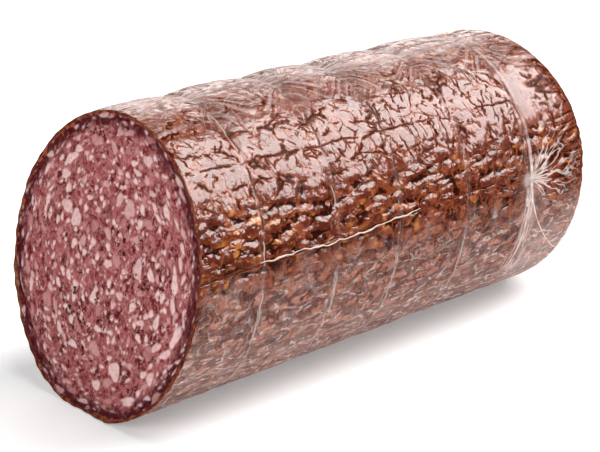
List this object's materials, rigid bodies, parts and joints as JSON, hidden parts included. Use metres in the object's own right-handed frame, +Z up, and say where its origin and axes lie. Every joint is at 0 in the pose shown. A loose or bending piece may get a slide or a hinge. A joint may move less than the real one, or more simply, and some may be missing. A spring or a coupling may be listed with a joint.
{
  "type": "cured sausage",
  "caption": "Half of a round cured sausage, cut across at one end, in a wrinkled casing with a thin net and a clear film shrunk over it.",
  "frame": {"origin": "middle of the underside of the whole sausage, where it rests", "axes": "+X from the cut face to the closed end, +Z up, -Y the side that the cut leans away from least"},
  "size_m": [0.1464, 0.0652, 0.066],
  "materials": {
    "meat": "moist mauve-red cured meat with pale fat grains",
    "casing": "red-brown, wrinkled, satin",
    "netting": "thin translucent thread",
    "film": "clear shrunk film, glossy"
  },
  "bodies": {
    "root": {"meat": "meat", "casing": "casing", "netting": "netting", "film": "film"}
  },
  "joints": []
}
